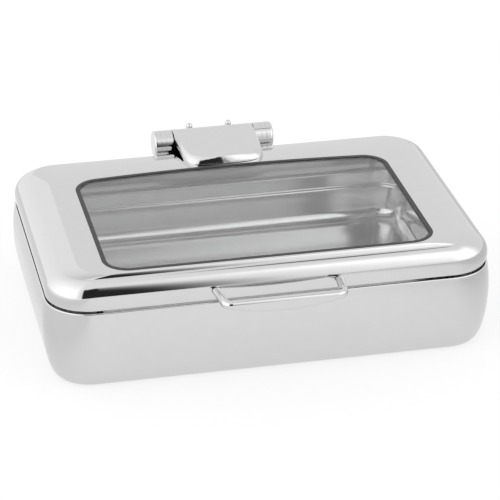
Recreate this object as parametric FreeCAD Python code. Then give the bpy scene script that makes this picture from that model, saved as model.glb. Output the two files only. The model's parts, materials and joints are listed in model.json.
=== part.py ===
import FreeCAD, Part
import math
import os

# Induction chafing dish with a hinged glass-window lid, in millimetres.
# +X is to the right, +Y to the back, +Z up. The origin is the middle of the rest face.

V = FreeCAD.Vector

# Food pan: full gastronorm size, hanging by its flange inside the body's rim
PAN_FLANGE_X = 265.0
PAN_FLANGE_Y = 162.5
PAN_FLANGE_WIDTH = 12.5
PAN_FLANGE_THICK = 2.2
PAN_MOUTH_R = 43.0
PAN_DEPTH = 65.0
PAN_SHEET = 0.9
PAN_MOUTH_TAPER = 1.0
PAN_STEP_DROP = 20.0
PAN_STEP_HALF = 1.5
PAN_STEP_IN = 3.0
PAN_TAPER_IN = 4.5
PAN_FLOOR_ROUND = 17.0
PAN_FRAME_GAP = 2.5

# Body: how far it stands outside the pan, and how its wall draws in above and below its widest line
BODY_SIDE_MARGIN = 20.0
BODY_FRONT_MARGIN = 32.5
BODY_CORNER_R = 58.8
BODY_FLOOR_Z = 1.0
BODY_BULGE_Z = 71.3
BODY_FOOT_INSET = 17.5
RIM_INSET = 3.4
RIM_Z = 105.0
RIM_BEAD_WIDTH = 3.0
RIM_BEAD_DEPTH = 7.0
RIM_BEAD_ROUND = 1.5
SHEET = 1.2
SHELF_GAP = 0.2
BODY_WALL_ANGLES = (90, 78, 64, 50, 36, 24, 12, 0)
BEAD_ANGLES = (0, 30, 60, 90)

# Heating base
PLATE_HALF_X = 190.0
PLATE_HALF_Y = 115.0
PLATE_CORNER_R = 30.0
PLATE_THICK = 3.0
CORE_THICK = 3.0
CORE_INSET = 5.0
POCKET_GAP = 2.0

# Lid: the gap above the body's rim, its wall and its shoulder
LID_GAP = 3.0
LID_EDGE_INSET = 5.0
LID_BULGE_INSET = 4.3
LID_WALL_RISE = 8.3
LID_EDGE_CORNER_R = 55.5
LID_CORNER_R = 51.5
LID_FLANGE = 6.0
SHOULDER_RUN = 58.3
SHOULDER_RISE = 33.0
SHOULDER_POWER = 2.37
SHOULDER_END_DEG = 53.7
SHOULDER_FRONT_SHARE = 0.681
SHOULDER_CORNER_SHARE = 0.7
PANEL_MARGIN = 1.2
LID_WALL_SHARES = (0.0, 0.35, 0.7)
SHOULDER_ANGLES = (0, 5, 12, 20, 30, 42, SHOULDER_END_DEG)
PANEL_SHARES = (0.0, 0.25, 0.5, 0.75, 1.0)

# Window: how far its opening stands inside the body's widest line, and its own outline
WINDOW_SIDE = 75.7
WINDOW_FRONT = 23.7
WINDOW_BACK = 85.5
WINDOW_CORNER_R = 33.2
WINDOW_BOW = 11.0
GASKET_WIDTH = 5.5
GASKET_PROUD = 0.3
GASKET_DEPTH = 5.8
GLASS_EDGE = 2.5
GLASS_THICK = 4.0
GLASS_SINK = 0.5

# Clamping frame under the window, with its studs and nuts
FRAME_SHEET = 1.2
FRAME_LIP = 4.0
FRAME_STEP = 2.0
FRAME_FLANGE = 12.0
FRAME_FLANGE_DROP = 2.1
STUD_R = 2.0
STUD_LENGTH = 9.0
STUD_OUT = 7.7
NUT_R = 4.0
NUT_HEIGHT = 3.2
SIDE_STUDS = 3
SIDE_STUD_END = 50.0
REAR_STUD_X = 110.0

# Silicone buffers under the lid's edge
BUFFER_R = 4.0
BUFFER_GAP = 0.3
BUFFER_SIDE_GAP = 0.3
BUFFER_X = 220.0

# Hinge barrel: how high and how far back it stands, the lid's knuckle and what turns in it
BARREL_R = 18.5
BARREL_PROUD = 10.8
BARREL_OVERLAP = 2.0
KNUCKLE_HALF = 55.3
KNUCKLE_WALL = 5.5
KNUCKLE_GAP = 1.0
FIXED_KNUCKLE = 16.0
RING_WIDTH = 0.8
RING_DEPTH = 0.6
RING_IN = 5.9
AXLE_R = 5.0
AXLE_END_GAP = 0.5
RUNNING_GAP = 0.05
BUSH_LENGTH = 10.0
DAMPER_LENGTH = 30.0
DAMPER_GAP = 0.5
SPRING_WIRE_R = 1.0
SPRING_AXLE_GAP = 2.5
SPRING_TURNS = 9
SPRING_END_GAP = 0.3
WASHER_GAP = 0.1
WASHER_INSET = 2.5
CAP_LENGTH = 9.3
CAP_NECK = 0.8
CAP_NECK_DROP = 1.0
CAP_ROUND = 3.5
CAP_SPIGOT_R = 8.0
CAP_SPIGOT = 6.0

# Hinge leaf: it lies on the lid in front of the barrel, level with the barrel's top
LEAF_WINDOW_GAP = 1.0
LEAF_STRAIGHT = 45.0
LEAF_SHOULDER_HALF = 49.5
LEAF_SHOULDER_BACK = 8.5
LEAF_NOSE_HALF = 40.0
LEAF_NOSE_BACK = 2.4
LEAF_FLAT_IN = 2.7
LEAF_FLAT_STRAIGHT_IN = 23.0
LEAF_FLAT_SHOULDER_IN = 5.0
LEAF_FLAT_SHOULDER_BACK = 4.0
LEAF_FLAT_NOSE_IN = 7.0
LEAF_FLAT_NOSE_BACK = 2.0
LEAF_LIP_R = 17.4
LEAF_LIP_SHARES = (0.0, 0.25, 0.5, 0.75, 1.0)
LEAF_ROUND = 1.0
LEAF_SEAT = 25.0
LEAF_LIFT = 1.4
LEAF_LIFT_RUN = 5.6
LEAF_SINK = 6.0
LEAF_SCREWS = 4
LEAF_SCREW_PITCH = 24.0
LEAF_SCREW_BACK = 19.0
LEAF_SCREW_R = 2.5
LEAF_SCREW_LENGTH = 8.0
LEAF_PLATE_HALF_X = 46.0
LEAF_PLATE_HALF_Y = 6.5
LEAF_PLATE_THICK = 1.6
LEAF_PLATE_BEND = 1.1

# Fixed hinge base, its bracket on the body's back wall, and their fasteners
BRIDGE_GAP = 1.0
BRIDGE_DEPTH = 10.0
BRIDGE_RISE = 6.0
BRACKET_SHEET = 3.0
BRACKET_HALF_X = 60.0
BRACKET_GAP = 1.5
BRACKET_STAND = 3.0
PAD_HALF_X = 50.0
PAD_DROP = 2.0
PAD_HEIGHT = 48.0
PAD_BORDER = 3.0
BRACKET_STUD_X = 36.0
BRACKET_STUD_IN = 10.0
BRACKET_STUD_R = 2.5
BRACKET_STUD_END = 1.5
BRACKET_NUT_R = 4.6
BRACKET_NUT_HEIGHT = 4.0
BOLT_X = 27.0
BOLT_R = 2.5
BOLT_HEAD_HEIGHT = 3.5
DOME_R = 4.5
DOME_SKIRT = 6.2

# Handle on the lid's front wall
HANDLE_HALF_X = 77.2
HANDLE_LEAN = 3.9
HANDLE_R = 5.6
HANDLE_RISE = 3.0
HANDLE_REACH = 35.0
HANDLE_BEND = 7.0
GRIP_BELLY = 7.6
GRIP_SWELL = 0.2
GRIP_FLAT = 0.1
FOOT_WASHER_IN = 0.5
FOOT_WASHER_THICK = 1.0
BACKING_R = 7.5
HANDLE_SCREW_R = 2.5
HANDLE_SCREW_DEPTH = 12.0
SCREW_HEAD_R = 4.5
SCREW_HEAD_HEIGHT = 3.0

# Sizes and places that follow from the values above
PAN_MOUTH_X = PAN_FLANGE_X - PAN_FLANGE_WIDTH
PAN_MOUTH_Y = PAN_FLANGE_Y - PAN_FLANGE_WIDTH
BODY_HALF_X = PAN_FLANGE_X + BODY_SIDE_MARGIN
BODY_HALF_Y = PAN_FLANGE_Y + BODY_FRONT_MARGIN
LEDGE_Z = RIM_Z - RIM_BEAD_DEPTH
PAN_TOP_Z = LEDGE_Z + PAN_FLANGE_THICK
PAN_FLOOR_Z = PAN_TOP_Z - PAN_DEPTH
CORE_TOP_Z = PLATE_THICK + CORE_THICK
LID_EDGE_Z = RIM_Z + LID_GAP
LID_BULGE_Z = LID_EDGE_Z + LID_WALL_RISE
LID_TOP_Z = LID_BULGE_Z + SHOULDER_RISE
LID_FRONT_Y = LID_BULGE_INSET - BODY_HALF_Y
WINDOW_HALF_X = BODY_HALF_X - WINDOW_SIDE
WINDOW_FRONT_Y = WINDOW_FRONT - BODY_HALF_Y
WINDOW_BACK_Y = BODY_HALF_Y - WINDOW_BACK
GASKET_TOP_Z = LID_TOP_Z + GASKET_PROUD
GASKET_LOW_Z = LID_TOP_Z - GASKET_DEPTH
GLASS_TOP_Z = LID_TOP_Z - GLASS_SINK
FRAME_FLANGE_Z = LID_TOP_Z - FRAME_FLANGE_DROP
BUFFER_Y = BODY_HALF_Y - RIM_INSET - RIM_BEAD_WIDTH - BUFFER_SIDE_GAP - BUFFER_R
AXIS_Y = BODY_HALF_Y + BARREL_R - BARREL_OVERLAP
AXIS_Z = LID_TOP_Z + BARREL_PROUD - BARREL_R
KNUCKLE_BORE_R = BARREL_R - KNUCKLE_WALL
SPRING_R = AXLE_R + SPRING_AXLE_GAP + SPRING_WIRE_R
KNUCKLE_START = KNUCKLE_HALF + KNUCKLE_GAP
KNUCKLE_END = KNUCKLE_START + FIXED_KNUCKLE
BARREL_END = KNUCKLE_END + CAP_NECK + CAP_LENGTH
LEAF_FRONT_Y = WINDOW_BACK_Y + LEAF_WINDOW_GAP
LEAF_TOP_Z = AXIS_Z + BARREL_R
LEAF_SEAT_BACK_Y = LEAF_FRONT_Y + LEAF_SEAT
LEAF_SCREW_Y = LEAF_FRONT_Y + LEAF_SCREW_BACK
LEAF_PLATE_LOW_Z = LID_TOP_Z - SHEET - LEAF_PLATE_THICK - LEAF_PLATE_BEND
BRIDGE_FRONT_Y = AXIS_Y + BARREL_R + BRIDGE_GAP
BRIDGE_BACK_Y = BRIDGE_FRONT_Y + BRIDGE_DEPTH
BRIDGE_TOP_Z = AXIS_Z + BRIDGE_RISE
BRACKET_TOP_Z = AXIS_Z - BARREL_R - BRACKET_GAP
BRACKET_Y = BODY_HALF_Y + BRACKET_STAND
BOLT_Y = (BRIDGE_FRONT_Y + BRIDGE_BACK_Y) / 2
PAD_HIGH_Z = LEDGE_Z - PAD_DROP
PAD_LOW_Z = PAD_HIGH_Z - PAD_HEIGHT
HANDLE_Z = LID_BULGE_Z + HANDLE_RISE
HANDLE_FOOT_Y = LID_FRONT_Y - FOOT_WASHER_THICK
GRIP_Y = -BODY_HALF_Y - HANDLE_REACH
GRIP_HALF_X = HANDLE_HALF_X - HANDLE_LEAN - HANDLE_BEND


class Outline:
    """A rounded rectangle seen from above, whose back edge may bow outward."""

    def __init__(self, half_x, front, back, corner, bow=0.0):
        self.half_x = half_x
        self.front = front
        self.back = back
        self.corner = corner
        self.bow = bow

    def grown(self, by, front=None, back=None):
        front = by if front is None else front
        back = by if back is None else back
        corner = max(self.corner + by, 1.0)
        return Outline(self.half_x + by, self.front - front, self.back + back, corner, self.bow)

    def towards(self, other, share):
        def mix(a, b):
            return a + (b - a) * share
        return Outline(mix(self.half_x, other.half_x), mix(self.front, other.front),
                       mix(self.back, other.back), mix(self.corner, other.corner), mix(self.bow, other.bow))

    def back_corner(self):
        """Centre of the right back corner's arc, and the angle at which it meets the back edge."""
        centre_x = self.half_x - self.corner
        if self.bow < 0.01:
            return V(centre_x, self.back - self.corner, 0), math.pi / 2
        bow_r = (self.half_x ** 2 + self.bow ** 2) / (2 * self.bow)
        rise = math.sqrt((bow_r - self.corner) ** 2 - centre_x ** 2)
        return V(centre_x, self.back - bow_r + rise, 0), math.atan2(rise, centre_x)

    def wire(self, z):
        """The outline as eight joined edges at height z, starting with the front edge."""
        r = self.corner
        edge_x = self.half_x - r
        front_c = V(edge_x, self.front + r, 0)
        back_c, turn = self.back_corner()

        def on(centre, angle):
            return V(centre.x + r * math.cos(angle), centre.y + r * math.sin(angle), z)

        def left(p):
            return V(-p.x, p.y, p.z)

        f0, f1, f2 = on(front_c, -math.pi / 2), on(front_c, -math.pi / 4), on(front_c, 0)
        b0, b1, b2 = on(back_c, 0), on(back_c, turn / 2), on(back_c, turn)
        if self.bow < 0.01:
            back_edge = Part.LineSegment(b2, left(b2))
        else:
            back_edge = Part.Arc(b2, V(0, self.back, z), left(b2))
        curves = [Part.LineSegment(left(f0), f0), Part.Arc(f0, f1, f2), Part.LineSegment(f2, b0),
                  Part.Arc(b0, b1, b2), back_edge, Part.Arc(left(b2), left(b1), left(b0)),
                  Part.LineSegment(left(b0), left(f2)), Part.Arc(left(f2), left(f1), left(f0))]
        return Part.Wire([c.toShape() for c in curves])

    def prism(self, low, high):
        return Part.Face(self.wire(low)).extrude(V(0, 0, high - low))


def loft(sections, ruled=False):
    """A solid through outlines given as (outline, height) pairs."""
    return Part.makeLoft([outline.wire(z) for outline, z in sections], True, ruled)


def rod(radius, start, end):
    axis = end - start
    return Part.makeCylinder(radius, axis.Length, start, axis)


def tube(outer, inner, start, end):
    return rod(outer, start, end).cut(rod(inner, start, end))


def box(low, high):
    size = high - low
    return Part.makeBox(size.x, size.y, size.z, low)


def hexagon(radius, height, centre, axis):
    """A hexagonal nut or head: radius is measured to its corners."""
    across = Part.makeCylinder(radius, height, V(0, 0, 0), V(0, 0, 1))
    corners = [V(radius * math.cos(k * math.pi / 3), radius * math.sin(k * math.pi / 3), 0) for k in range(7)]
    prism = Part.Face(Part.makePolygon(corners)).extrude(V(0, 0, height)).common(across)
    prism.Placement = FreeCAD.Placement(centre, FreeCAD.Rotation(V(0, 0, 1), axis))
    return prism


def mirrored(shape):
    return shape.mirror(V(0, 0, 0), V(1, 0, 0))


def pair(shape):
    return Part.makeCompound([shape, mirrored(shape)])


def save(name, shape):
    shape.exportStep("parts/" + name + ".step")
    print(name, "solids", len(shape.Solids), "volume", round(shape.Volume / 1000, 2), "valid", shape.isValid())


# Body wall

def body_inset(z):
    """How far the wall stands inside its widest line at height z."""
    if z >= BODY_BULGE_Z:
        share = (z - BODY_BULGE_Z) / (RIM_Z - BODY_BULGE_Z)
        return RIM_INSET * share ** 2
    share = min((BODY_BULGE_Z - z) / (BODY_BULGE_Z - BODY_FLOOR_Z), 1.0)
    return BODY_FOOT_INSET * (1 - math.sqrt(1 - share ** 2))


def body_outline(inset):
    base = Outline(BODY_HALF_X, -BODY_HALF_Y, BODY_HALF_Y, BODY_CORNER_R)
    return base.grown(-inset)


def body_wall(offset, top):
    """The solid inside the wall, drawn in by offset, from the floor up to top."""
    low = BODY_FLOOR_Z + offset
    drop = BODY_BULGE_Z - low
    sections = []
    for degrees in BODY_WALL_ANGLES:
        angle = math.radians(degrees)
        inset = offset + BODY_FOOT_INSET * (1 - math.cos(angle))
        sections.append((body_outline(inset), low + drop * (1 - math.sin(angle))))
    for share in (0.5, 1.0):
        z = BODY_BULGE_Z + (top - BODY_BULGE_Z) * share
        sections.append((body_outline(offset + body_inset(z)), z))
    return loft(sections)


def body_solid():
    bead_z = RIM_Z - RIM_BEAD_ROUND
    side = body_inset(bead_z)
    bead = []
    for degrees in BEAD_ANGLES:
        angle = math.radians(degrees)
        inset = side + RIM_BEAD_ROUND * (1 - math.cos(angle))
        bead.append((body_outline(inset), bead_z + RIM_BEAD_ROUND * math.sin(angle)))
    return body_wall(0.0, bead_z).fuse(loft(bead))


def bead_inner():
    return body_outline(RIM_INSET + RIM_BEAD_WIDTH)


def water_pan():
    pocket = Outline(PLATE_HALF_X, -PLATE_HALF_Y, PLATE_HALF_Y, PLATE_CORNER_R).grown(POCKET_GAP)
    hollow = body_wall(SHEET, LEDGE_Z).cut(pocket.grown(SHEET).prism(0, CORE_TOP_Z + SHEET))
    mouth = bead_inner().prism(LEDGE_Z, RIM_Z + 1)
    return body_solid().cut(hollow).cut(mouth).cut(pocket.prism(0, CORE_TOP_Z))


def rim_frame():
    """The shelf inside the rim that carries the food pan's flange."""
    inset = body_inset(LEDGE_Z) + SHEET + SHELF_GAP
    opening = Outline(PAN_MOUTH_X, -PAN_MOUTH_Y, PAN_MOUTH_Y, PAN_MOUTH_R).grown(PAN_FRAME_GAP)
    shelf = body_outline(inset).prism(LEDGE_Z - SHEET, LEDGE_Z)
    return shelf.cut(opening.prism(LEDGE_Z - 2 * SHEET, LEDGE_Z + 1))


def induction_plate():
    return Outline(PLATE_HALF_X, -PLATE_HALF_Y, PLATE_HALF_Y, PLATE_CORNER_R).prism(0, PLATE_THICK)


def aluminium_core():
    plate = Outline(PLATE_HALF_X, -PLATE_HALF_Y, PLATE_HALF_Y, PLATE_CORNER_R)
    return plate.grown(-CORE_INSET).prism(PLATE_THICK, CORE_TOP_Z)


def lid_buffers():
    pads = []
    for x in (-BUFFER_X, BUFFER_X):
        for y in (-BUFFER_Y, BUFFER_Y):
            pads.append(rod(BUFFER_R, V(x, y, LEDGE_Z), V(x, y, LID_EDGE_Z - BUFFER_GAP)))
    return Part.makeCompound(pads)


# Food pan

def pan_outline(inset):
    mouth = Outline(PAN_MOUTH_X, -PAN_MOUTH_Y, PAN_MOUTH_Y, PAN_MOUTH_R)
    return mouth.grown(-inset)


def pan_wall(offset):
    """The solid inside the pan's wall: a mouth, a step, a taper and a rounded floor."""
    top = PAN_TOP_Z + offset
    step_z = PAN_TOP_Z - PAN_STEP_DROP
    floor = PAN_FLOOR_Z + offset
    round_z = floor + PAN_FLOOR_ROUND
    under_step = PAN_MOUTH_TAPER + PAN_STEP_IN
    at_round = under_step + PAN_TAPER_IN
    levels = [(0.0, top), (PAN_MOUTH_TAPER, step_z + PAN_STEP_HALF), (under_step, step_z - PAN_STEP_HALF),
              (at_round, round_z)]
    for degrees in (30, 60, 90):
        angle = math.radians(degrees)
        inset = at_round + PAN_FLOOR_ROUND * (1 - math.cos(angle))
        levels.append((inset, round_z - PAN_FLOOR_ROUND * math.sin(angle)))
    return loft([(pan_outline(offset + inset), z) for inset, z in levels], ruled=True)


def food_pan():
    flange = pan_outline(-PAN_FLANGE_WIDTH)
    rim = flange.prism(LEDGE_Z, PAN_TOP_Z)
    under = flange.grown(-PAN_SHEET).prism(LEDGE_Z, PAN_TOP_Z - PAN_SHEET)
    shell = rim.cut(under).fuse(pan_wall(0.0))
    return shell.cut(pan_wall(PAN_SHEET))


# Lid shell

def lid_outline(inset, front_inset, corner):
    """An outline of the lid, inset from the body's widest line at the sides and back, and at the front."""
    return Outline(BODY_HALF_X - inset, front_inset - BODY_HALF_Y, BODY_HALF_Y - inset, corner)


def wall_level(share, offset):
    """An outline and its height on the lid's wall, from its edge at share 0 to its widest line at 1."""
    inset = offset + LID_BULGE_INSET + (LID_EDGE_INSET - LID_BULGE_INSET) * (1 - share) ** 2
    corner = LID_EDGE_CORNER_R + (LID_CORNER_R - LID_EDGE_CORNER_R) * share - offset
    return lid_outline(inset, inset, corner), LID_EDGE_Z + LID_WALL_RISE * share


def shoulder_level(degrees, offset):
    """An outline and its height on the shoulder, which is a quarter of a fuller ellipse."""
    power = 2 / SHOULDER_POWER
    angle = math.radians(degrees)
    run = SHOULDER_RUN * (1 - math.cos(angle) ** power)
    sink = offset * math.sin(angle) / math.sin(math.radians(SHOULDER_END_DEG))
    inset = offset + LID_BULGE_INSET
    outline = lid_outline(inset + run, inset + run * SHOULDER_FRONT_SHARE,
                          LID_CORNER_R - run * SHOULDER_CORNER_SHARE - offset)
    return outline, LID_BULGE_Z + SHOULDER_RISE * math.sin(angle) ** power - sink


def window():
    return Outline(WINDOW_HALF_X, WINDOW_FRONT_Y, WINDOW_BACK_Y, WINDOW_CORNER_R, WINDOW_BOW)


def lid_solid(offset, low):
    """The lid's outer form, or its inside where offset is the sheet's thickness."""
    sections = []
    for share in LID_WALL_SHARES:
        outline, z = wall_level(share, offset)
        sections.append((outline, max(z, low)))
    sections += [shoulder_level(degrees, offset) for degrees in SHOULDER_ANGLES]
    crease, crease_z = sections[-1]
    top = window().grown(PANEL_MARGIN - offset)
    rise = LID_TOP_Z - offset - crease_z
    panel = []
    for share in PANEL_SHARES:
        panel.append((crease.towards(top, share), crease_z + rise * (1 - (1 - share) ** 2)))
    return loft(sections).fuse(loft(panel))


def lid_shell():
    mouth_inset = LID_EDGE_INSET + LID_FLANGE
    mouth = lid_outline(mouth_inset, mouth_inset, LID_EDGE_CORNER_R - LID_FLANGE)
    opening = mouth.prism(LID_EDGE_Z - 1, LID_EDGE_Z + SHEET)
    shell = lid_solid(0.0, LID_EDGE_Z).cut(lid_solid(SHEET, LID_EDGE_Z + SHEET)).cut(opening)
    shell = shell.cut(window().prism(LID_TOP_Z - 3 * SHEET, LID_TOP_Z + 1))
    shell = shell.cut(Part.makeCompound([leaf_screw_shank(x) for x in leaf_screw_rows()]))
    return shell.cut(pair(handle_screw_shank()))


# Window glass, its gasket and the frame that clamps them

def window_gasket():
    ring = window().prism(GASKET_LOW_Z, GASKET_TOP_Z)
    ring = ring.cut(window().grown(-GASKET_WIDTH).prism(GASKET_LOW_Z, GASKET_TOP_Z))
    return ring.cut(glass_pane())


def glass_pane():
    return window().grown(-GLASS_EDGE).prism(GLASS_TOP_Z - GLASS_THICK, GLASS_TOP_Z)


def glass_frame():
    """A stepped ring: its lip holds the gasket up and its flange is nutted to the lid."""
    low = GASKET_LOW_Z - FRAME_SHEET
    high = FRAME_FLANGE_Z
    inner = window().grown(FRAME_STEP, front=0.0)
    outer = window().grown(FRAME_STEP + FRAME_SHEET, front=FRAME_SHEET)
    lip = outer.prism(low, GASKET_LOW_Z).cut(window().grown(-FRAME_LIP).prism(low, GASKET_LOW_Z))
    wall = outer.prism(GASKET_LOW_Z, high).cut(inner.prism(GASKET_LOW_Z, high))
    flange = window().grown(FRAME_FLANGE, front=FRAME_SHEET).prism(high - FRAME_SHEET, high)
    flange = flange.cut(inner.prism(high - FRAME_SHEET, high))
    frame = lip.fuse(wall).fuse(flange)
    for point in frame_stud_points():
        frame = frame.cut(rod(STUD_R, point, point + V(0, 0, LID_TOP_Z)))
    return frame


def frame_stud_points():
    """Where the welded studs stand, at the level of their lower ends."""
    low = LID_TOP_Z - STUD_LENGTH
    side_x = WINDOW_HALF_X + STUD_OUT
    first_y = WINDOW_FRONT_Y + SIDE_STUD_END
    pitch = (WINDOW_BACK_Y - SIDE_STUD_END - first_y) / (SIDE_STUDS - 1)
    rear_y = WINDOW_BACK_Y - WINDOW_BOW * (REAR_STUD_X / WINDOW_HALF_X) ** 2 + STUD_OUT
    points = [V(side_x, first_y + pitch * row, low) for row in range(SIDE_STUDS)]
    points.append(V(REAR_STUD_X, rear_y, low))
    return points + [V(-p.x, p.y, p.z) for p in points]


def frame_studs(inside):
    studs = []
    for point in frame_stud_points():
        studs.append(rod(STUD_R, point, V(point.x, point.y, LID_TOP_Z)).common(inside))
    return Part.makeCompound(studs)


def frame_nuts():
    nuts = []
    base = FRAME_FLANGE_Z - FRAME_SHEET - NUT_HEIGHT
    for point in frame_stud_points():
        nut = hexagon(NUT_R, NUT_HEIGHT, V(point.x, point.y, base), V(0, 0, 1))
        nuts.append(nut.cut(rod(STUD_R, point, V(point.x, point.y, LID_TOP_Z))))
    return Part.makeCompound(nuts)


# Hinge: lid side

def axis_point(x):
    return V(x, AXIS_Y, AXIS_Z)


def arc_onward(start, heading, end):
    """The arc that leaves start along heading and reaches end, with its heading there."""
    chord = end - start
    across = heading - chord * (heading.dot(chord) / chord.dot(chord))
    angle = heading.getAngle(chord)
    across.normalize()
    middle = start + chord * 0.5 + across * (chord.Length / 2 * math.tan(angle / 2))
    turned = V(chord).normalize() * (2 * math.cos(angle)) - heading
    return Part.Arc(start, middle, end), turned.normalize()


def leaf_outline(share, z):
    """The leaf's outline at height z: share 0 is its foot on the lid, share 1 the edge of its flat top."""
    front = LEAF_FRONT_Y + LEAF_FLAT_IN * share
    side_y = AXIS_Y - LEAF_STRAIGHT + LEAF_FLAT_STRAIGHT_IN * share
    shoulder_y = front + LEAF_SHOULDER_BACK + LEAF_FLAT_SHOULDER_BACK * share
    nose_y = front + LEAF_NOSE_BACK + LEAF_FLAT_NOSE_BACK * share
    rear = V(KNUCKLE_HALF, AXIS_Y, z)
    side = V(KNUCKLE_HALF, side_y, z)
    shoulder = V(LEAF_SHOULDER_HALF - LEAF_FLAT_SHOULDER_IN * share, shoulder_y, z)
    corner = V(LEAF_NOSE_HALF - LEAF_FLAT_NOSE_IN * share, nose_y, z)
    side_arc, heading = arc_onward(side, V(0, -1, 0), shoulder)
    corner_arc, heading = arc_onward(shoulder, heading, corner)
    right = [Part.LineSegment(rear, side).toShape(), side_arc.toShape(), corner_arc.toShape()]
    nose = Part.Arc(corner, V(0, front, z), V(-corner.x, corner.y, z)).toShape()
    left = [mirrored(edge) for edge in reversed(right)]
    back = Part.LineSegment(V(-rear.x, rear.y, z), rear).toShape()
    return Part.Wire(right + [nose] + left + [back])


def leaf_slab():
    """The leaf's full height: a foot, and a lip that leans back in an arc up to the flat top."""
    height = LEAF_TOP_Z - LID_TOP_Z
    depth = LEAF_LIP_R - math.sqrt(LEAF_LIP_R ** 2 - height ** 2)
    sections = []
    for part in LEAF_LIP_SHARES:
        rise = height * part
        lean = LEAF_LIP_R - math.sqrt(LEAF_LIP_R ** 2 - rise ** 2)
        sections.append(leaf_outline(lean / depth, LID_TOP_Z + rise))
    lip = Part.makeLoft(sections, True, False)
    foot = Part.Face(leaf_outline(0.0, LID_TOP_Z - LEAF_SINK)).extrude(V(0, 0, LEAF_SINK))
    rim = [edge for edge in lip.Edges if edge.BoundBox.ZMin > LEAF_TOP_Z - 0.01
           and edge.BoundBox.YMin < AXIS_Y - 0.01]
    return lip.makeFillet(LEAF_ROUND, rim).fuse(foot)


def leaf_clearance():
    """The space kept free between the lid and the part of the leaf behind its seat."""
    clear = LID_TOP_Z + LEAF_LIFT
    low = LID_TOP_Z - LEAF_SINK
    points = [V(-KNUCKLE_HALF, LEAF_SEAT_BACK_Y, low), V(-KNUCKLE_HALF, LEAF_SEAT_BACK_Y, LID_TOP_Z - LEAF_LIFT),
              V(-KNUCKLE_HALF, LEAF_SEAT_BACK_Y + LEAF_LIFT_RUN, clear), V(-KNUCKLE_HALF, AXIS_Y, clear),
              V(-KNUCKLE_HALF, AXIS_Y, low)]
    face = Part.Face(Part.makePolygon(points + points[:1]))
    return face.extrude(V(2 * KNUCKLE_HALF, 0, 0))


def hinge_leaf(outer):
    leaf = leaf_slab().cut(leaf_clearance()).cut(outer)
    leaf = leaf.fuse(rod(BARREL_R, axis_point(-KNUCKLE_HALF), axis_point(KNUCKLE_HALF)))
    leaf = leaf.cut(rod(KNUCKLE_BORE_R, axis_point(-KNUCKLE_HALF), axis_point(KNUCKLE_HALF)))
    return leaf.cut(Part.makeCompound([leaf_screw_shank(x) for x in leaf_screw_rows()]))


def leaf_screw_rows():
    return [LEAF_SCREW_PITCH * (number - (LEAF_SCREWS - 1) / 2) for number in range(LEAF_SCREWS)]


def leaf_screw_shank(x):
    """A shank that starts at the backing plate's lower face."""
    seat = V(x, LEAF_SCREW_Y, LEAF_PLATE_LOW_Z)
    return rod(LEAF_SCREW_R, seat, seat + V(0, 0, LEAF_SCREW_LENGTH))


def leaf_screws():
    screws = []
    for x in leaf_screw_rows():
        low = V(x, LEAF_SCREW_Y, LEAF_PLATE_LOW_Z - SCREW_HEAD_HEIGHT)
        head = hexagon(SCREW_HEAD_R, SCREW_HEAD_HEIGHT, low, V(0, 0, 1))
        screws.append(head.fuse(leaf_screw_shank(x)))
    return Part.makeCompound(screws)


def leaf_backing_plate(inside):
    """A plate bent to the lid's inner face, between the screw heads and the sheet."""
    plate = box(V(-LEAF_PLATE_HALF_X, LEAF_SCREW_Y - LEAF_PLATE_HALF_Y, LEAF_PLATE_LOW_Z),
                V(LEAF_PLATE_HALF_X, LEAF_SCREW_Y + LEAF_PLATE_HALF_Y, LID_TOP_Z))
    plate = plate.common(inside)
    return plate.cut(Part.makeCompound([leaf_screw_shank(x) for x in leaf_screw_rows()]))


def leaf_bushes():
    start = KNUCKLE_HALF - BUSH_LENGTH
    bush = tube(KNUCKLE_BORE_R, AXLE_R + RUNNING_GAP, axis_point(start), axis_point(KNUCKLE_HALF))
    return pair(bush)


def damper():
    """The right soft-close damper: a sealed cartridge pressed into the knuckle."""
    end = KNUCKLE_HALF - BUSH_LENGTH - DAMPER_GAP
    return tube(KNUCKLE_BORE_R, AXLE_R + RUNNING_GAP, axis_point(end - DAMPER_LENGTH), axis_point(end))


def torsion_spring():
    half = KNUCKLE_HALF - BUSH_LENGTH - DAMPER_GAP - DAMPER_LENGTH - SPRING_END_GAP - SPRING_WIRE_R
    pitch = 2 * half / SPRING_TURNS
    helix = Part.makeHelix(pitch, 2 * half, SPRING_R)
    start = V(SPRING_R, 0, 0)
    circle = Part.Wire([Part.Circle(start, V(0, 1, 0), SPRING_WIRE_R).toShape()])
    spring = Part.Wire([helix]).makePipeShell([circle], True, True)
    spring.Placement = FreeCAD.Placement(axis_point(-half), FreeCAD.Rotation(V(0, 1, 0), 90))
    return spring


# Hinge: fixed side

def hinge_axle():
    half = KNUCKLE_END - CAP_SPIGOT - AXLE_END_GAP
    return rod(AXLE_R, axis_point(-half), axis_point(half))


def thrust_washers():
    washer = tube(BARREL_R - WASHER_INSET, AXLE_R + RUNNING_GAP,
                  axis_point(KNUCKLE_HALF + WASHER_GAP), axis_point(KNUCKLE_START - WASHER_GAP))
    return pair(washer)


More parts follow.
